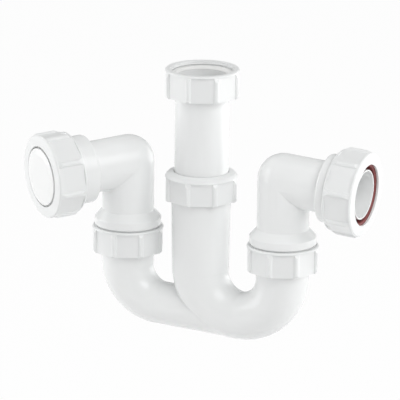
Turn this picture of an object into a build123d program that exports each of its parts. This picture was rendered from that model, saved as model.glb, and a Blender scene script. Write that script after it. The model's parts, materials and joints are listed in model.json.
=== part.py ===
"""Twin-outlet sink trap in white plastic, with a telescopic inlet, two swivelling elbows and one blanked outlet."""

from build123d import *
import math
import os

# Driving dimensions, in millimetres and degrees. Heights are drops below the rim of the inlet nut.

# Telescopic inlet tube
inlet_tube_od = 41.0
inlet_tube_wall = 2.1
inlet_tube_length = 100.0
inlet_flange_gap = 0.7
inlet_flange_thickness = 3.0
inlet_flange_bevel = 1.2

# Washer that lies on the flange of the inlet tube
inlet_washer_drop = 3.2
inlet_washer_thickness = 2.4
inlet_washer_bevel = 1.6

# Inlet nut, with the bore of its standard 1 1/2 inch pipe thread
inlet_nut_height = 20.8
inlet_thread_od = 47.8
inlet_rim_wall = 4.1
inlet_grip_stand = 1.5

# Slip nut that clamps the inlet tube
slip_nut_drop = 79.2
slip_nut_height = 21.6
slip_bevel_drop = 3.6
slip_shoulder_drop = 1.0
slip_shoulder_width = 2.2
slip_rim_wall = 3.6
slip_grip_stand = 1.4

# Slip thread of the body, its friction ring and its seal
slip_thread_wall = 3.0
slip_thread_length = 14.5
slip_ring_thickness = 1.5
slip_seal_height = 5.0
slip_seal_stand = 0.6

# Barrel of the body, in which the inlet tube slides
barrel_wall = 1.7
barrel_taper = 0.8
barrel_straight = 54.0

# Pipes of the body
pipe_od = 40.2
dip_od = 36.0
run_od = 32.4
pipe_wall = 2.0
left_leg_offset = 60.5
right_leg_offset = 67.1
right_leg_straight = 6.7
left_bend_radius = 30.0
run_fall = 3.0
run_blend = 0.15

# Unions between the legs and the elbows
union_drop = 128.6
union_nut_height = 19.6
union_flange_stand = 3.5
union_rim_wall = 3.1
union_grip_stand = 1.2
union_skirt_depth = 11.0
union_seal_thickness = 2.3
union_flange_thickness = 3.0
union_lip_rise = 7.0

# Elbows
elbow_rise = 50.5
elbow_wall = 2.0
elbow_bead_stand = 1.3
elbow_bead_height = 7.0
elbow_cone_height = 5.2
outlet_fall = 3.8
left_swivel = 50.9
right_swivel = 0.0

# Outlet socket of each elbow, measured along the outlet from the centre of the elbow
neck_start = 35.3
neck_length = 14.7
neck_inset = 0.8
collar_length = 12.8
collar_wall = 2.5
socket_floor_wall = 4.7
spigot_wall = 1.15
spigot_gap = 0.7
spigot_stand = 2.5
waste_pipe_od = 43.0
waste_pipe_wall = 1.9

# Outlet nuts, seals and the blanking plug
outlet_nut_length = 24.0
outlet_hole_margin = 1.5
outlet_nut_wall = 5.0
outlet_face_fall = 0.4
outlet_rear_inset = 1.3
outlet_grip_stand = 1.4
outlet_front_wall = 2.0
outlet_hole_edge = 0.6
outlet_seal_wall = 2.5
outlet_seal_depth = 6.5
outlet_seal_stand = 2.5
left_outlet_nut_turn = -17.5
right_outlet_nut_turn = -12.0
plug_stack = 5.7
plug_gap = 1.5
plug_groove = 1.8
plug_stand = 0.5
plug_crown = 0.6
plug_crown_width = 5.0
plug_wall = 2.4
plug_flange_thickness = 3.0

# Grip of every nut: flats with a round rib on each corner
grip_sides = 8
grip_facing = -66.3
rib_stand = 1.2
rib_radius = 2.2
nut_rim_height = 1.6
nut_lip_thickness = 3.0
nut_relief = 0.4
nut_edge = 0.8

# Clearances between pieces
slide_clearance = 0.3
thread_clearance = 0.4
seal_clearance = 0.1
seat_clearance = 0.3


def turned(*corners):
    """Ring or solid turned about Z from its corners, each a radius and a height."""
    outline = make_face(Polyline(*corners, close=True))
    return revolve(Plane.XZ * outline, axis=Axis.Z)


def drum(radius, low, high, over=0.0):
    """Plain cylinder about Z between two heights, longer by the overlap at each end."""
    length = high - low + 2 * over
    return Pos(0, 0, low - over) * Cylinder(radius, length, align=(Align.CENTER, Align.CENTER, Align.MIN))


def grip(over, low, high):
    """Ribbed grip between two heights: flats with a round rib on each corner, one flat facing the front."""
    corner_radius = over - rib_stand
    half_step = 180 / grip_sides
    flats = RegularPolygon(corner_radius, grip_sides, rotation=grip_facing + half_step)
    ribs = PolarLocations(over - rib_radius, grip_sides, start_angle=grip_facing + half_step)
    outline = flats + [place * Circle(rib_radius) for place in ribs]
    return extrude(Pos(0, 0, low) * outline, amount=high - low)


def union_type_nut(height, bore, thread_depth, rim_wall, grip_stand, tube_od):
    """Nut with its open rim up at zero, a wider chamber under the thread and a lip below that runs on a tube."""
    rim = bore + rim_wall
    over = rim + grip_stand
    envelope = turned(
        (0, 0),
        (rim - nut_edge, 0),
        (rim, -nut_edge),
        (rim, -nut_rim_height),
        (over, -nut_rim_height - 2 * (over - rim)),
        (over, -height + 2 * nut_edge),
        (over - 2 * nut_edge, -height),
        (0, -height),
    )
    body = grip(over, -height, -nut_rim_height) + drum(rim, -nut_rim_height, 0)
    body = body & envelope
    lip_hole = tube_od / 2 + thread_clearance
    hollow = turned(
        (0, 1),
        (bore, 1),
        (bore, -thread_depth),
        (bore + nut_relief, -thread_depth),
        (bore + nut_relief, -height + nut_lip_thickness),
        (lip_hole, -height + nut_lip_thickness),
        (lip_hole, -height - 1),
        (0, -height - 1),
    )
    return body - hollow


# Heights and radii that follow from the driving dimensions
tube_radius = inlet_tube_od / 2
tube_bore = tube_radius - inlet_tube_wall
washer_top = -inlet_washer_drop
flange_top = washer_top - inlet_washer_thickness
inlet_flange = inlet_thread_od / 2 - inlet_flange_gap
barrel_bore = tube_radius + slide_clearance
barrel_top_radius = barrel_bore + barrel_wall
barrel_foot_radius = barrel_top_radius - barrel_taper
slip_thread = barrel_bore + slip_thread_wall
slip_nut_bore = slip_thread + thread_clearance
slip_top = -slip_nut_drop
slip_roof = slip_top - slip_bevel_drop - seat_clearance
slip_foot = slip_top - slip_nut_height
ring_top = slip_roof
seal_top = ring_top - slip_ring_thickness
barrel_top = seal_top - slip_seal_stand
slip_thread_foot = barrel_top - slip_thread_length
right_bend_radius = right_leg_offset / 2
union_level = -union_drop
bend_level = union_level - union_nut_height - right_leg_straight
union_flange = pipe_od / 2 + union_flange_stand
union_bore = union_flange + thread_clearance
socket_radius = waste_pipe_od / 2 + slide_clearance
seal_seat = socket_radius + outlet_seal_wall
collar_radius = seal_seat + collar_wall
spigot_radius = waste_pipe_od / 2 - waste_pipe_wall - spigot_gap
elbow_bore = spigot_radius - spigot_wall
elbow_radius = elbow_bore + elbow_wall
outlet_hole = socket_radius + outlet_hole_margin
socket_floor = neck_start + socket_floor_wall
collar_start = neck_start + neck_length
collar_end = collar_start + collar_length
spigot_end = collar_end + spigot_stand
elbow_level = union_level + elbow_rise


def make_inlet_nut():
    bore = inlet_thread_od / 2
    thread_depth = inlet_washer_drop - seat_clearance
    return union_type_nut(inlet_nut_height, bore, thread_depth, inlet_rim_wall, inlet_grip_stand, inlet_tube_od)


def make_inlet_tube():
    flange_foot = flange_top - inlet_flange_thickness
    foot = flange_top - inlet_tube_length
    return turned(
        (tube_bore, flange_top),
        (inlet_flange, flange_top),
        (inlet_flange, flange_foot + inlet_flange_bevel),
        (inlet_flange - inlet_flange_bevel, flange_foot),
        (tube_radius, flange_foot),
        (tube_radius, foot + nut_edge),
        (tube_radius - nut_edge, foot),
        (tube_bore, foot),
    )


def make_inlet_washer():
    return turned(
        (tube_bore, flange_top),
        (inlet_flange, flange_top),
        (inlet_flange, washer_top),
        (tube_bore + inlet_washer_bevel, washer_top),
        (tube_bore, washer_top - inlet_washer_bevel),
    )


def make_slip_nut():
    rim = slip_thread + slip_rim_wall
    over = rim + slip_grip_stand
    hole = tube_radius + thread_clearance
    bevel_foot = slip_top - slip_bevel_drop
    grip_top = bevel_foot - nut_edge
    cap = turned(
        (0, slip_top),
        (hole + nut_edge, slip_top),
        (rim - slip_shoulder_width, slip_top - slip_shoulder_drop),
        (rim - nut_edge, slip_top - (slip_shoulder_drop + slip_bevel_drop) / 2),
        (rim, bevel_foot),
        (rim, grip_top),
        (0, grip_top),
    )
    envelope = turned(
        (0, slip_top),
        (rim, slip_top),
        (rim, grip_top),
        (over, grip_top - 2 * (over - rim)),
        (over, slip_foot + nut_edge),
        (over - nut_edge, slip_foot),
        (0, slip_foot),
    )
    body = cap + (grip(over, slip_foot, grip_top) & envelope)
    hollow = turned(
        (0, slip_top + 1),
        (hole, slip_top + 1),
        (hole, slip_roof),
        (slip_nut_bore, slip_roof),
        (slip_nut_bore, slip_foot + nut_edge),
        (slip_nut_bore + nut_edge + 1, slip_foot - 1),
        (0, slip_foot - 1),
    )
    return body - hollow


def make_slip_ring():
    outer = slip_nut_bore - slide_clearance
    return turned(
        (barrel_bore, ring_top),
        (outer, ring_top),
        (outer, seal_top),
        (barrel_bore, seal_top),
    )


def seal_pocket():
    """Radius of the pocket in the mouth of the barrel: half way through the threaded wall."""
    return (barrel_bore + slip_thread) / 2 + seat_clearance


def make_slip_seal():
    foot = seal_top - slip_seal_height
    outer = seal_pocket() - seal_clearance
    inner = tube_radius + seal_clearance
    lead = slip_seal_height / 5
    return turned(
        (inner, seal_top - lead),
        (inner + lead / 2, seal_top),
        (outer, seal_top),
        (outer, foot),
        (inner, foot),
    )


def pipe_along(path, start_plane, start_radius, end_plane, end_radius):
    """Round pipe that follows a path and changes evenly from one radius to the other."""
    sections = [start_plane * Circle(start_radius), end_plane * Circle(end_radius)]
    return sweep(sections, path=path, multisection=True)


def bend_arc(centre_x, centre_z, radius, start, end):
    """Arc of a bend in the plane of the legs, its angles counted from the side towards -X, going down."""
    turns = [math.radians(angle) for angle in (start, (start + end) / 2, end)]
    points = [(centre_x - radius * math.cos(turn), 0, centre_z - radius * math.sin(turn)) for turn in turns]
    return ThreePointArc(*points)


def waterway(wall):
    """Pipes of the body as one solid, drawn in by the wall: the outside with none, the hollow with all of it."""
    leg = pipe_od / 2 - wall
    dip = dip_od / 2 - wall
    run = run_od / 2 - wall
    foot = barrel_foot_radius - wall
    # Right bend: half a turn that narrows from the barrel to its dip and widens again to the leg
    right = right_bend_radius
    start = Plane(origin=(0, 0, bend_level), z_dir=(0, 0, -1))
    low = Plane(origin=(right, 0, bend_level - right), z_dir=(1, 0, 0))
    end = Plane(origin=(2 * right, 0, bend_level), z_dir=(0, 0, 1))
    falling = bend_arc(right, bend_level, right, 0, 90)
    rising = bend_arc(right, bend_level, right, 90, 180)
    pipes = pipe_along(falling, start, foot, low, dip) + pipe_along(rising, low, dip, end, leg)
    # Bottom run: falls to the floor of the dip
    fall = math.radians(run_fall)
    heading = Vector(math.cos(fall), 0, -math.sin(fall))
    run_end = low.origin - Vector(0, 0, (dip_od - run_od) / 2 - run_blend)
    reach = left_leg_offset + right - left_bend_radius * (1 - math.sin(fall))
    run_length = reach / math.cos(fall)
    run_start = Plane(origin=run_end - heading * run_length, z_dir=heading)
    pipes += run_start * drum(run, 0, run_length)
    # Left bend: narrows from the leg down into the run
    left = left_bend_radius
    centre_z = run_start.origin.Z + left * math.cos(fall)
    arc = bend_arc(left - left_leg_offset, centre_z, left, 0, 90 - run_fall)
    top = Plane(origin=(-left_leg_offset, 0, centre_z), z_dir=(0, 0, -1))
    pipes += pipe_along(arc, top, leg, run_start, run)
    # Legs up to the lips inside the unions
    lip_top = union_level - union_skirt_depth - union_seal_thickness + union_lip_rise
    pipes += Pos(-left_leg_offset, 0, 0) * drum(leg, centre_z, lip_top)
    pipes += Pos(right_leg_offset, 0, 0) * drum(leg, bend_level, lip_top)
    return pipes


def make_trap_body():
    barrel = turned(
        (0, barrel_top),
        (slip_thread - nut_edge / 2, barrel_top),
        (slip_thread, barrel_top - nut_edge),
        (slip_thread, slip_thread_foot),
        (barrel_top_radius, slip_thread_foot - nut_edge),
        (barrel_foot_radius, bend_level),
        (0, bend_level),
    )
    flange_top_level = union_level - union_skirt_depth - union_seal_thickness
    flange = drum(union_flange, flange_top_level - union_flange_thickness, flange_top_level)
    solid = waterway(0) + barrel
    for leg_x in (-left_leg_offset, right_leg_offset):
        solid += Pos(leg_x, 0, 0) * flange
    seal_floor = seal_top - slip_seal_height
    straight_foot = barrel_top - barrel_straight
    hollow = waterway(pipe_wall) + turned(
        (0, barrel_top + 1),
        (seal_pocket(), barrel_top + 1),
        (seal_pocket(), seal_floor),
        (barrel_bore, seal_floor),
        (barrel_bore, straight_foot),
        (barrel_foot_radius - pipe_wall, bend_level),
        (0, bend_level),
    )
    lip_top = flange_top_level + union_lip_rise
    for leg_x in (-left_leg_offset, right_leg_offset):
        hollow += Pos(leg_x, 0, 0) * drum(pipe_od / 2 - pipe_wall, flange_top_level, lip_top + 1)
    return solid - hollow


def skirt_bore():
    """Inside of an elbow's skirt, which clears the lip of the leg."""
    return pipe_od / 2 + thread_clearance + slide_clearance


def make_union_nut(leg_x):
    depth = union_skirt_depth
    nut = union_type_nut(union_nut_height, union_bore, depth, union_rim_wall, union_grip_stand, pipe_od)
    return Pos(leg_x, 0, union_level) * nut


def make_union_seal(leg_x):
    top = union_level - union_skirt_depth
    foot = top - union_seal_thickness
    inner = pipe_od / 2 + seal_clearance
    outer = union_flange - seal_clearance
    return Pos(leg_x, 0, 0) * (drum(outer, foot, top) - drum(inner, foot, top, over=1))


def elbow_place(leg_x, heading):
    """Centre of an elbow, turned about its leg so that its own +X points along the outlet."""
    return Location((leg_x, 0, elbow_level), (0, 0, heading))


outlet_plane = Plane(
    origin=(0, 0, 0),
    z_dir=(math.cos(math.radians(outlet_fall)), 0, -math.sin(math.radians(outlet_fall))),
    x_dir=(math.sin(math.radians(outlet_fall)), 0, math.cos(math.radians(outlet_fall))),
)


def heel(radius):
    """Round heel of an elbow: half a disc turned about the bend's own axis, from the leg's end to the outlet's start."""
    half_disc = Circle(radius) & Pos(-radius, 0, 0) * Rectangle(2 * radius, 2 * radius)
    return revolve(half_disc, axis=Axis.Y, revolution_arc=90 + outlet_fall)


def make_elbow():
    """One elbow about its own centre, its leg down and its outlet towards +X."""
    rim = -elbow_rise
    bead = union_bore + elbow_bead_stand
    bead_top = rim + elbow_bead_height + nut_edge
    cone_top = bead_top + elbow_cone_height
    skirt_foot = rim - union_skirt_depth
    upright = drum(elbow_radius, cone_top, 0)
    arm = outlet_plane * drum(elbow_radius, 0, neck_start + elbow_wall)
    flare = turned(
        (0, cone_top),
        (elbow_radius, cone_top),
        (bead - nut_edge, bead_top),
        (bead, bead_top - nut_edge),
        (bead, rim + 2 * nut_edge),
        (bead - nut_edge, rim + nut_edge),
        (union_flange, rim + nut_edge),
        (union_flange, skirt_foot),
        (0, skirt_foot),
    )
    neck = collar_radius - neck_inset
    collar = outlet_plane * turned(
        (0, neck_start),
        (neck - 2 * nut_edge, neck_start),
        (neck - nut_edge / 2, neck_start + nut_edge / 2),
        (neck, neck_start + 2 * nut_edge),
        (neck, collar_start - neck_inset),
        (collar_radius, collar_start),
        (collar_radius, collar_end - nut_edge),
        (collar_radius - nut_edge, collar_end),
        (0, collar_end),
    )
    spigot = outlet_plane * drum(spigot_radius, neck_start, spigot_end)
    recess = outlet_plane * turned(
        (spigot_radius, socket_floor),
        (socket_radius, socket_floor),
        (socket_radius, collar_end - outlet_seal_depth),
        (seal_seat, collar_end - outlet_seal_depth),
        (seal_seat, collar_end + 1),
        (spigot_radius, collar_end + 1),
    )
    mouth = outlet_plane * drum(elbow_bore, 0, spigot_end + 1)
    flare_hollow = turned(
        (0, cone_top),
        (elbow_bore, cone_top),
        (skirt_bore(), bead_top),
        (skirt_bore(), skirt_foot - 1),
        (0, skirt_foot - 1),
    )
    solid = upright + arm + heel(elbow_radius) + flare + collar - recess + spigot
    return solid - (drum(elbow_bore, cone_top, 0) + mouth + heel(elbow_bore)) - flare_hollow


def outlet_nut(front):
    """Outlet nut whose face lies at a given distance along the outlet."""
    rear = front - outlet_nut_length
    face = collar_radius + outlet_nut_wall
    over = face + outlet_grip_stand
    back = face - outlet_rear_inset
    face_level = front - outlet_face_fall
    grip_front = face_level - nut_rim_height
    hole = outlet_hole
    bore = collar_radius + thread_clearance
    envelope = turned(
        (0, front),
        (hole, front),
        (face - nut_edge, face_level),
        (face, face_level - nut_edge),
        (face, grip_front),
        (over, grip_front - 2 * (over - face)),
        (over, rear + 2 * (over - back)),
        (back, rear + nut_edge),
        (back - nut_edge, rear),
        (0, rear),
    )
    rings = drum(face, grip_front, front) + drum(back, rear, rear + nut_rim_height)
    body = (grip(over, rear, grip_front) + rings) & envelope
    hollow = turned(
        (0, front + 1),
        (hole, front + 1),
        (hole, front - outlet_hole_edge),
        (hole + outlet_front_wall - outlet_hole_edge, front - outlet_front_wall),
        (bore, front - outlet_front_wall),
        (bore, rear - 1),
        (0, rear - 1),
    )
    return body - hollow


seal_front = collar_end + outlet_seal_stand
right_nut_front = seal_front + outlet_front_wall
left_nut_front = right_nut_front + plug_stack


def make_outlet_seal():
    inner = waste_pipe_od / 2 + seal_clearance
    body = seal_seat - seal_clearance
    flange = collar_radius - slide_clearance
    foot = collar_end - outlet_seal_depth
    return turned(
        (inner, foot),
        (body, foot),
        (body, collar_end),
        (flange, collar_end),
        (flange, seal_front),
        (inner + nut_edge, seal_front),
        (inner, seal_front - nut_edge),
    )


def make_plug():
    """Blanking plug: a cup behind a crowned disc, with a flange that the nut holds against the seal."""
    disc = outlet_hole - plug_gap
    flange = collar_radius - slide_clearance
    skirt = seal_seat - seal_clearance
    shoulder = left_nut_front - outlet_front_wall
    disc_edge = left_nut_front + plug_stand
    crown_top = disc_edge + plug_crown
    cup = spigot_radius + thread_clearance
    blank = turned(
        (0, seal_front),
        (skirt, seal_front),
        (skirt, shoulder - plug_flange_thickness),
        (flange, shoulder - plug_flange_thickness),
        (flange, shoulder),
        (outlet_hole, shoulder),
        (outlet_hole, shoulder - plug_groove),
        (disc, shoulder - plug_groove),
        (disc, disc_edge),
        (disc - plug_crown_width, crown_top),
        (0, crown_top),
    )
    return blank - drum(cup, seal_front - 1, disc_edge - plug_wall)


def main():
    os.makedirs("parts", exist_ok=True)
    nodes = {
        "inlet_tube": make_inlet_tube(),
        "inlet_washer": make_inlet_washer(),
        "inlet_nut": make_inlet_nut(),
        "trap_body": make_trap_body(),
        "slip_seal": make_slip_seal(),
        "slip_ring": make_slip_ring(),
        "slip_nut": make_slip_nut(),
    }
    sides = {
        "left": (-left_leg_offset, 180 + left_swivel, left_nut_front, left_outlet_nut_turn),
        "right": (right_leg_offset, right_swivel, right_nut_front, right_outlet_nut_turn),
    }
    for side, (leg_x, heading, nut_front, nut_turn) in sides.items():
        centre = elbow_place(leg_x, heading)
        nodes[side + "_union_nut"] = make_union_nut(leg_x)
        nodes[side + "_union_seal"] = make_union_seal(leg_x)
        nodes[side + "_elbow"] = centre * make_elbow()
        nodes[side + "_outlet_nut"] = centre * (outlet_plane * (Rot(0, 0, nut_turn) * outlet_nut(nut_front)))
        nodes[side + "_outlet_seal"] = centre * (outlet_plane * make_outlet_seal())
    nodes["left_outlet_plug"] = elbow_place(-left_leg_offset, 180 + left_swivel) * (outlet_plane * make_plug())
    for name, solid in nodes.items():
        export_step(solid, f"parts/{name}.step")


main()
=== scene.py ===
# %% [markdown]
# # A white plastic sink trap
# The trap is a family of mouldings: an inlet tube that telescopes into a barrel, a body with two legs,
# two swivel elbows, six ribbed nuts and a few soft seals. Their forms come ready made from the packed
# model, at their real size. This lesson gives them what a CAD solid lacks: the soft edges of a moulding,
# the finish of polypropylene, washer and rubber, the screw thread that shows in the inlet nut, the lip of
# the open outlet, and a studio that looks like a white light tent.

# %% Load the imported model
import json
import math

import bmesh
import bpy
from mathutils import Matrix, Vector


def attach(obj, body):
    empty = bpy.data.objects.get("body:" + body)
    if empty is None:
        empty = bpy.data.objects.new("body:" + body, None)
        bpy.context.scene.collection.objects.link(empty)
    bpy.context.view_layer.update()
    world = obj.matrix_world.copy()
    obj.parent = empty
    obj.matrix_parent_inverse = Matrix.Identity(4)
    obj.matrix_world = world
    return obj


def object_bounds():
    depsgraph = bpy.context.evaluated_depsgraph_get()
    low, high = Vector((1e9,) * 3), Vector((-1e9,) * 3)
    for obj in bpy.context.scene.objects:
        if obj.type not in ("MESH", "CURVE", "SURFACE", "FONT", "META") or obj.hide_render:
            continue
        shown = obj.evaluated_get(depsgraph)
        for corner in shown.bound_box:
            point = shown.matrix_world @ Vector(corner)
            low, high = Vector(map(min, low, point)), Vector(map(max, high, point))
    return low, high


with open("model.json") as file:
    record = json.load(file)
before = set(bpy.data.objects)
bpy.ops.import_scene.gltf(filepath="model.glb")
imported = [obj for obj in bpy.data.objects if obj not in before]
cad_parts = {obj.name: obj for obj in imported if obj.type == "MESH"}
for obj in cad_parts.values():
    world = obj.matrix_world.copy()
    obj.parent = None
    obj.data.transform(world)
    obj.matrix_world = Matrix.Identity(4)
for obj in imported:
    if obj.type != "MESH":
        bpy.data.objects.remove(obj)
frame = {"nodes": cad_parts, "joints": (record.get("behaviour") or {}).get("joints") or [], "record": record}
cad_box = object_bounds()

MM = 0.001
nodes = frame["nodes"]
slots = {row["node"]: row["material_slot"] for row in frame["record"]["subparts"]}
joints = {joint["name"]: joint for joint in frame["joints"]}
print("pieces loaded:", len(nodes), "joints:", len(joints))

# %% [markdown]
# ## Numbers that vary over a surface
# A finish is a small program that runs at every point of a surface. Blender draws it as nodes and links,
# which are slow to read as code. One class wraps an output socket so that ordinary Python sums add the
# Math nodes, and one method adds any other node: its kind, its settings, then what goes into its sockets.

# %% Shader maths


class Value:
    """A number that varies over a surface: an output socket that takes part in Python sums."""

    def __init__(self, finish, socket):
        self.finish = finish
        self.socket = socket

    def maths(self, operation, first, second):
        return self.finish.add("ShaderNodeMath", {"operation": operation}, {0: first, 1: second})

    def __add__(self, other):
        return self.maths("ADD", self, other)

    def __radd__(self, other):
        return self.maths("ADD", other, self)

    def __sub__(self, other):
        return self.maths("SUBTRACT", self, other)

    def __rsub__(self, other):
        return self.maths("SUBTRACT", other, self)

    def __mul__(self, other):
        return self.maths("MULTIPLY", self, other)

    def __rmul__(self, other):
        return self.maths("MULTIPLY", other, self)

    def __truediv__(self, other):
        return self.maths("DIVIDE", self, other)

    def __abs__(self):
        return self.maths("ABSOLUTE", self, 0.0)

    def above_zero(self):
        return self.maths("MAXIMUM", self, 0.0)


class Finish:
    """One material: its node tree, its main shader and a method that adds any node."""

    def __init__(self, name, **constants):
        self.material = bpy.data.materials.new(name)
        self.material.use_nodes = True
        self.tree = self.material.node_tree
        self.shader = self.tree.nodes["Principled BSDF"]
        for socket, value in constants.items():
            self.shader.inputs[socket.replace("_", " ")].default_value = value

    def add(self, kind, settings, sockets, output=0):
        node = self.tree.nodes.new(kind)
        for name, value in settings.items():
            setattr(node, name, value)
        for key, value in sockets.items():
            self.feed(node.inputs[key], value)
        return Value(self, node.outputs[output])

    def feed(self, socket, value):
        if isinstance(value, Value):
            self.tree.links.new(value.socket, socket)
        else:
            socket.default_value = value

    def drive(self, socket, value):
        """Sends a value to a socket of the main shader."""
        self.feed(self.shader.inputs[socket], value)

    def place(self):
        """Point of the surface in the object's own frame, in metres."""
        return self.add("ShaderNodeTexCoord", {}, {}, output="Object")

    def noise(self, feature, detail=2.0):
        """Cloudy noise whose lumps are about as wide as the given feature."""
        sockets = {"Vector": self.place(), "Scale": 1.0 / feature, "Detail": detail}
        return self.add("ShaderNodeTexNoise", {}, sockets)

    def mix(self, factor, first, second):
        return self.add("ShaderNodeMix", {"data_type": "RGBA"}, {0: factor, 6: first, 7: second}, output=2)

    def bump(self, height, strength, depth):
        sockets = {"Height": height, "Strength": strength, "Distance": depth}
        self.drive("Normal", self.add("ShaderNodeBump", {}, sockets, output="Normal"))


print("shader maths ready")

# %% [markdown]
# ## White polypropylene
# The pipes and nuts are moulded in white polypropylene. It is never quite one white: the melt leaves
# faint clouds, and the mould's polish leaves a satin gloss with a grain like orange peel. The clouds
# could be painted on a map, but the mouldings have no such map, so three-dimensional noise in the
# object's own frame does it, and runs through every piece without a seam. Light also enters the plastic a
# little, which softens the shade in grooves.

# %% Moulded white plastic
CLOUD = 30 * MM
FLOW = 7 * MM
GRAIN = 0.45 * MM
GLOW_DEPTH = 1.2 * MM
EVEN = (1, 1, 1)
PLASTIC_IOR = 1.49
PLASTIC_GLOW = 0.12
CLOUD_SHARE = 0.8
FLOW_SHARE = 0.2
CLOUD_ROUGHNESS = 0.04
FLOW_ROUGHNESS = 0.02
FLOW_RISE = 0.06
GRAIN_RISE = 0.1
PLASTIC_BUMP = 0.22
PLASTIC_BUMP_DEPTH = 0.2 * MM


def white_plastic(name, bright, dull, roughness, seam=None):
    """Satin white moulding. A seam is a point and a normal of the plane where the mould's halves met."""
    finish = Finish(
        name,
        IOR=PLASTIC_IOR,
        Subsurface_Weight=PLASTIC_GLOW,
        Subsurface_Scale=GLOW_DEPTH,
        Subsurface_Radius=EVEN,
    )
    cloud = finish.noise(CLOUD)
    flow = finish.noise(FLOW, detail=3.0)
    grain = finish.noise(GRAIN)
    finish.drive("Base Color", finish.mix(CLOUD_SHARE * cloud + FLOW_SHARE * flow, dull, bright))
    mean_rise = (CLOUD_ROUGHNESS + FLOW_ROUGHNESS) / 2
    finish.drive("Roughness", roughness - mean_rise + CLOUD_ROUGHNESS * cloud + FLOW_ROUGHNESS * flow)
    height = FLOW_RISE * flow + GRAIN_RISE * grain
    if seam:
        height = height + seam_ridge(finish, *seam)
    finish.bump(height, PLASTIC_BUMP, PLASTIC_BUMP_DEPTH)
    return finish.material


# %% [markdown]
# ## The mould's parting line
# Every moulded pipe has a hair line where the two halves of its mould met. It runs in the plane that
# splits the piece into mirror halves: the plane of the legs on the body, and the plane of leg and outlet
# on each elbow. It is far too fine for geometry, so the finish raises a narrow ridge wherever a point is
# close to that plane.

# %% Parting line
SEAM_HALF_WIDTH = 0.25 * MM
SEAM_RISE = 0.8


def seam_ridge(finish, point, normal):
    """Full height on the plane of the seam, and nothing beside it."""
    offset = finish.add("ShaderNodeVectorMath", {"operation": "SUBTRACT"}, {0: finish.place(), 1: point})
    settings = {"operation": "DOT_PRODUCT"}
    distance = finish.add("ShaderNodeVectorMath", settings, {0: offset, 1: normal}, output="Value")
    return SEAM_RISE * (1 - abs(distance) / SEAM_HALF_WIDTH).above_zero()


def elbow_seam(side):
    """Plane through the leg of an elbow and its outlet, from the joints that turn the elbow and its nut."""
    leg = Vector(joints[side + "_elbow_swivel"]["pos_m"])
    outlet = Vector(joints[side + "_outlet_nut_turn"]["axis"])
    return leg, Vector((0, 0, 1)).cross(outlet).normalized()


PIPE_BRIGHT = (0.905, 0.914, 0.912, 1)
PIPE_DULL = (0.876, 0.887, 0.885, 1)
NUT_BRIGHT = (0.88, 0.89, 0.888, 1)
NUT_DULL = (0.853, 0.865, 0.863, 1)
# The plug's whites are lighter than the pipe's. This is painted light, standing in for the light that falls
# on its disc.
PLUG_PAINTED_LIGHT_BRIGHT = (0.94, 0.945, 0.94, 1)
PLUG_PAINTED_LIGHT_DULL = (0.92, 0.927, 0.925, 1)
PIPE_ROUGHNESS = 0.22
NUT_ROUGHNESS = 0.29

body_seam = (Vector((0, 0, 0)), Vector((0, 1, 0)))
pipe_white = white_plastic("white_pipe", PIPE_BRIGHT, PIPE_DULL, PIPE_ROUGHNESS)
nut_white = white_plastic("white_nut", NUT_BRIGHT, NUT_DULL, NUT_ROUGHNESS)
body_white = white_plastic("white_body", PIPE_BRIGHT, PIPE_DULL, PIPE_ROUGHNESS, body_seam)
elbow_whites = {
    side: white_plastic(side + "_elbow_white", PIPE_BRIGHT, PIPE_DULL, PIPE_ROUGHNESS, elbow_seam(side))
    for side in ("left", "right")
}
print("white plastics:", [m.name for m in (pipe_white, nut_white, body_white, *elbow_whites.values())])

# %% [markdown]
# ## Washer and seals
# The washer in the inlet nut is softer and duller than the mouldings, so it only needs a rougher white.
# The outlet seals are dark red rubber. Rubber shows a fine matt grain and a faint bloom that greys it in
# patches, which is what keeps a dark ring from looking like a painted line.

# %% Soft white and red rubber
WASHER_WHITE = (0.87, 0.87, 0.86, 1)
WASHER_SHADE = (0.83, 0.83, 0.825, 1)
RUBBER_RED = (0.215, 0.042, 0.042, 1)
RUBBER_BLOOM = (0.27, 0.085, 0.08, 1)
RUBBER_GRAIN = 0.3 * MM
RUBBER_PATCH = 6 * MM
WASHER_GLOW = 0.2
WASHER_ROUGHNESS = 0.5
WASHER_ROUGHNESS_RISE = 0.12
WASHER_BUMP = 0.2
RUBBER_ROUGHNESS = 0.42
RUBBER_ROUGHNESS_RISE = 0.25
RUBBER_PATCH_RISE = 0.5
RUBBER_BUMP = 0.3
SOFT_BUMP_DEPTH = 0.1 * MM


def soft_white(name):
    finish = Finish(name, Subsurface_Weight=WASHER_GLOW, Subsurface_Scale=GLOW_DEPTH, Subsurface_Radius=EVEN)
    cloud = finish.noise(FLOW)
    finish.drive("Base Color", finish.mix(cloud, WASHER_SHADE, WASHER_WHITE))
    finish.drive("Roughness", WASHER_ROUGHNESS + WASHER_ROUGHNESS_RISE * cloud)
    finish.bump(finish.noise(GRAIN), WASHER_BUMP, SOFT_BUMP_DEPTH)
    return finish.material


def red_rubber(name):
    finish = Finish(name)
    patch = finish.noise(RUBBER_PATCH, detail=4.0)
    grain = finish.noise(RUBBER_GRAIN)
    finish.drive("Base Color", finish.mix(patch, RUBBER_RED, RUBBER_BLOOM))
    finish.drive("Roughness", RUBBER_ROUGHNESS + RUBBER_ROUGHNESS_RISE * patch)
    finish.bump(grain + RUBBER_PATCH_RISE * patch, RUBBER_BUMP, SOFT_BUMP_DEPTH)
    return finish.material


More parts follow.
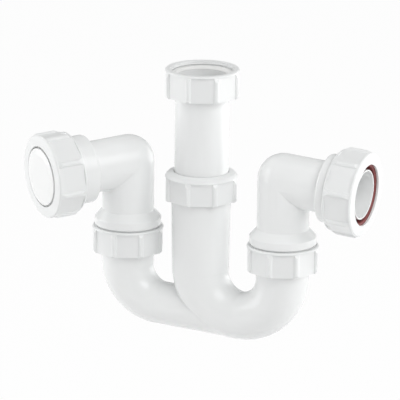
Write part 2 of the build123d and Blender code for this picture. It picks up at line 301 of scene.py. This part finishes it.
# The outlet plug gets a lighter copy of the pipe white. This is painted light for the light on its disc.
plug_painted_light_white = white_plastic("white_plug_painted_light", PLUG_PAINTED_LIGHT_BRIGHT, PLUG_PAINTED_LIGHT_DULL, PIPE_ROUGHNESS)
washer_white = soft_white("washer_white")
rubber = red_rubber("seal_red")
finishes = {
    "pipe_plastic": pipe_white,
    "nut_plastic": nut_white,
    "washer_plastic": washer_white,
    "seal_rubber": rubber,
}
own_finish = {
    "trap_body": body_white,
    "left_elbow": elbow_whites["left"],
    "right_elbow": elbow_whites["right"],
    "left_outlet_plug": plug_painted_light_white,
}


def dress(piece, material):
    piece.data.materials.clear()
    piece.data.materials.append(material)


for name, piece in nodes.items():
    dress(piece, own_finish.get(name) or finishes[slots[name]])
print("dressed:", len(nodes), "pieces in", len(finishes) + len(own_finish), "finishes")

# %% [markdown]
# ## Soft edges
# No edge of a moulding is truly sharp, and it is the thin bright line along each edge that tells the eye
# so. The edges could be filleted one by one in the solids, at the price of many thousand facets. A Bevel
# modifier rounds every edge sharper than a set angle instead, after a Weld has joined the facets that the
# import leaves apart, and weighted normals keep the flats flat.

# %% Bevel the mouldings
EDGE_RADIUS = 0.3 * MM
SHARP = math.radians(18)
WELD = 0.002 * MM


def soften(piece, radius):
    weld = piece.modifiers.new("weld", "WELD")
    weld.merge_threshold = WELD
    bevel = piece.modifiers.new("edges", "BEVEL")
    bevel.width = radius
    bevel.segments = 2
    bevel.limit_method = "ANGLE"
    bevel.angle_limit = SHARP
    bevel.harden_normals = False
    bevel.face_strength_mode = "FSTR_ALL"
    normals = piece.modifiers.new("flats", "WEIGHTED_NORMAL")
    normals.keep_sharp = False
    normals.use_face_influence = True


for piece in nodes.values():
    soften(piece, EDGE_RADIUS)
print("edges rounded to", EDGE_RADIUS / MM, "mm")

# %% [markdown]
# ## Thread of the inlet nut
# The inlet nut screws on to a sink waste, and its parallel pipe thread shows just inside the rim. A
# thread is a ridge with a fixed section that climbs one pitch in each turn. A Screw modifier could make
# it, but the ridge also has to fade out at both ends, as a moulded thread does, so the section is placed
# step by step along the helix in mesh code.

# %% Thread
THREAD_PITCH = 2.31 * MM
THREAD_DEPTH = 0.42 * MM
THREAD_FOOT = 1.5 * MM
THREAD_CREST = 0.5 * MM
THREAD_SINK = 0.5 * MM
THREAD_TOP_GAP = 1.4 * MM
THREAD_LENGTH = 14 * MM
STEPS_PER_TURN = 96
FADE_STEPS = 24

inlet_thread = next(m for m in frame["record"]["mounts"] if m["name"] == "inlet_thread")
thread_radius = inlet_thread["dims"]["r_mm"] * MM


def join_rings(mesh, before, after):
    """Skin between two copies of a section that stand one after the other along a sweep."""
    for k in range(len(before)):
        following = (k + 1) % len(before)
        mesh.faces.new((before[k], before[following], after[following], after[k]))


def make_piece(name, mesh):
    """Turns mesh code into an object, with all faces looking outwards."""
    bmesh.ops.recalc_face_normals(mesh, faces=mesh.faces)
    data = bpy.data.meshes.new(name)
    mesh.to_mesh(data)
    mesh.free()
    piece = bpy.data.objects.new(name, data)
    bpy.context.scene.collection.objects.link(piece)
    return piece


def thread_section(radius, height):
    """Corners of the ridge's section as (radius, rise), from foot to foot, with the feet sunk in the wall."""
    crest = radius - height
    wall = radius + THREAD_SINK
    return [
        (wall, -THREAD_FOOT / 2),
        (crest, -THREAD_CREST / 2),
        (crest, THREAD_CREST / 2),
        (wall, THREAD_FOOT / 2),
    ]


def make_thread(name, radius, top, turns):
    mesh = bmesh.new()
    steps = int(turns * STEPS_PER_TURN)
    rings = []
    for step in range(steps + 1):
        angle = 2 * math.pi * step / STEPS_PER_TURN
        level = top - THREAD_PITCH * step / STEPS_PER_TURN
        fade = min(1.0, step / FADE_STEPS, (steps - step) / FADE_STEPS)
        corners = thread_section(radius, THREAD_DEPTH * fade)
        spoke = Vector((math.cos(angle), math.sin(angle), 0))
        rings.append([mesh.verts.new(spoke * r + Vector((0, 0, level + rise))) for r, rise in corners])
    for before, after in zip(rings, rings[1:]):
        join_rings(mesh, before, after)
    mesh.faces.new(rings[0][::-1])
    mesh.faces.new(rings[-1])
    return make_piece(name, mesh)


thread_turns = (THREAD_LENGTH - THREAD_TOP_GAP) / THREAD_PITCH
thread = make_thread("inlet_nut_thread", thread_radius, -THREAD_TOP_GAP, thread_turns)
dress(thread, nut_white)
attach(thread, "inlet_nut")
print("thread turns:", round(thread_turns, 2))

# %% [markdown]
# ## Lip of the open outlet
# The wall of the open outlet's hole is deeper than the solid nut's: it goes in almost to the seal, and
# hides all but a crescent of the red rubber. A ring with a rounded inner edge gives the nut that wall.
# Its back stops just short of the seal, and its outside is sunk in the nut, so the two look like one
# moulding.

# %% Outlet lip
LIP_RADIUS = 23.32 * MM
LIP_OUTSIDE = 25.2 * MM
LIP_FRONT = 66.9 * MM
LIP_BACK = 65.4 * MM
LIP_ROUND = 0.3 * MM
LIP_STEPS = 144
LIP_SHARP = math.radians(50)


def lip_section():
    """Corners of the ring's section as (radius, distance along the outlet)."""
    half_round = LIP_ROUND * (1 - math.sqrt(0.5))
    return [
        (LIP_OUTSIDE, LIP_FRONT),
        (LIP_RADIUS, LIP_FRONT),
        (LIP_RADIUS, LIP_BACK + LIP_ROUND),
        (LIP_RADIUS + half_round, LIP_BACK + half_round),
        (LIP_RADIUS + LIP_ROUND, LIP_BACK),
        (LIP_OUTSIDE, LIP_BACK),
    ]


def make_lip(name, joint):
    """Turns the section about the axis of an outlet nut."""
    mesh = bmesh.new()
    centre = Vector(joint["pos_m"])
    axis = Vector(joint["axis"])
    across = axis.orthogonal().normalized()
    other = axis.cross(across)
    rings = []
    for step in range(LIP_STEPS):
        angle = 2 * math.pi * step / LIP_STEPS
        spoke = across * math.cos(angle) + other * math.sin(angle)
        rings.append([mesh.verts.new(centre + spoke * r + axis * along) for r, along in lip_section()])
    for before, after in zip(rings, rings[1:] + rings[:1]):
        join_rings(mesh, before, after)
    piece = make_piece(name, mesh)
    piece.data.set_sharp_from_angle(angle=LIP_SHARP)
    return piece


lip = make_lip("right_outlet_lip", joints["right_outlet_nut_turn"])
dress(lip, nut_white)
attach(lip, "right_outlet_nut")
print("lip:", len(lip.data.polygons), "faces")

# %% [markdown]
# ## Light tent
# A white product on white is shaped by what it doesn't reflect. Large soft panels stand at both sides,
# and a smaller one high at the viewer's right lights the fronts, so each pipe fades from a bright right
# side through a grey band left of its middle to a lighter left edge. A weak panel overhead lifts the
# rims. Panels are Area lamps, and the world adds an even white for the grooves.

# %% Lamps and world
TENT_WHITE = (1, 1, 1, 1)
TENT_STRENGTH = 0.43


def area_lamp(name, place, target, size, power):
    lamp = bpy.data.lights.new(name, "AREA")
    lamp.shape = "RECTANGLE"
    lamp.size, lamp.size_y = size
    lamp.energy = power
    holder = bpy.data.objects.new(name, lamp)
    holder.location = place
    holder.rotation_euler = (Vector(target) - Vector(place)).to_track_quat("-Z", "Y").to_euler()
    bpy.context.scene.collection.objects.link(holder)
    return holder


middle = (cad_box[0] + cad_box[1]) / 2
VIEW_AZIMUTH = math.radians(23.74)


def around(azimuth, distance, rise):
    """Place at a bearing from the viewing direction, positive to the viewer's right."""
    turn = VIEW_AZIMUTH + math.radians(azimuth)
    return middle + Vector((math.sin(turn) * distance, -math.cos(turn) * distance, rise))


area_lamp("right_panel", around(110, 1.5, 0.0), middle, (2.0, 1.0), 13)
area_lamp("front_panel", around(34, 1.3, 1.0), middle, (1.0, 1.0), 11)
area_lamp("left_panel", around(-100, 1.5, 0.3), middle, (1.4, 1.5), 14)
area_lamp("top_panel", around(20, 0.3, 1.6), middle, (1.4, 1.4), 3)

world = bpy.data.worlds.new("tent")
bpy.context.scene.world = world
world.use_nodes = True
tent = world.node_tree.nodes["Background"]
tent.inputs["Color"].default_value = TENT_WHITE
tent.inputs["Strength"].default_value = TENT_STRENGTH

# %% [markdown]
# ## Floor
# The trap hangs from its thread well above the floor, as it does under a sink. The floor is a wide pale
# plane. To the camera it glows almost white by itself, so the background stays white, and the rest of its
# colour comes from the lamps, so the trap's soft shadow is kept.

# %% Floor
FLOOR_DROP = 0.25
FLOOR_HALF = 9.0
FLOOR_WHITE = (0.9, 0.9, 0.9, 1)
FLOOR_GLOW_SHARE = 0.96

floor_level = cad_box[0].z - FLOOR_DROP
corners = [(x * FLOOR_HALF, y * FLOOR_HALF, floor_level) for x, y in ((-1, -1), (1, -1), (1, 1), (-1, 1))]
floor_mesh = bpy.data.meshes.new("floor")
floor_mesh.from_pydata(corners, [], [(0, 1, 2, 3)])
floor = bpy.data.objects.new("floor", floor_mesh)
bpy.context.scene.collection.objects.link(floor)

floor_finish = Finish("floor_white", Base_Color=FLOOR_WHITE, Roughness=0.9)
path = floor_finish.tree.nodes.new("ShaderNodeLightPath")
seen = sum(
    (Value(floor_finish, path.outputs[ray]) for ray in ("Is Glossy Ray", "Is Transmission Ray")),
    Value(floor_finish, path.outputs["Is Camera Ray"]),
)
glow = floor_finish.add("ShaderNodeEmission", {}, {"Color": (1, 1, 1, 1), "Strength": 1.0})
lit = Value(floor_finish, floor_finish.shader.outputs["BSDF"])
share = FLOOR_GLOW_SHARE * seen
surface = floor_finish.add("ShaderNodeMixShader", {}, {0: share, 1: lit, 2: glow})
floor_finish.feed(floor_finish.tree.nodes["Material Output"].inputs["Surface"], surface)
dress(floor, floor_finish.material)
print("floor at", round(floor_level, 3), "m")

# %% [markdown]
# ## Camera
# The photograph was taken from far away with a long lens, so its upright pipes stay parallel. Its scale,
# the two angles of view and a slight roll were found by matching the rims of the nuts, and the camera
# looks at the point of the inlet's axis that lies in the middle of the frame.

# %% Camera
VIEW_ELEVATION = math.radians(15.39)
VIEW_ROLL = math.radians(0.54)
VIEW_DISTANCE = 4.0
FRAME_PIXELS = 400
PIXELS_PER_METRE = 1327.0
AIM_RIGHT = -0.93 * MM
AIM_LEVEL = -102.26 * MM
SENSOR = 36.0

back = Vector((
    math.sin(VIEW_AZIMUTH) * math.cos(VIEW_ELEVATION),
    -math.cos(VIEW_AZIMUTH) * math.cos(VIEW_ELEVATION),
    math.sin(VIEW_ELEVATION),
))
level_right = Vector((math.cos(VIEW_AZIMUTH), math.sin(VIEW_AZIMUTH), 0))
level_up = back.cross(level_right)
right = level_right * math.cos(VIEW_ROLL) + level_up * math.sin(VIEW_ROLL)
up = level_up * math.cos(VIEW_ROLL) - level_right * math.sin(VIEW_ROLL)
aim = level_right * AIM_RIGHT + Vector((0, 0, AIM_LEVEL))

lens = bpy.data.cameras.new("camera")
lens.sensor_width = SENSOR
lens.lens = PIXELS_PER_METRE * VIEW_DISTANCE / FRAME_PIXELS * SENSOR
lens.clip_end = 50
camera = bpy.data.objects.new("camera", lens)
camera_turn = Matrix((right, up, back)).transposed().to_4x4()
camera.matrix_world = Matrix.Translation(aim + back * VIEW_DISTANCE) @ camera_turn
bpy.context.scene.collection.objects.link(camera)
bpy.context.scene.camera = camera
bpy.context.scene.view_settings.view_transform = "Standard"
print("lens", round(lens.lens, 1), "mm")
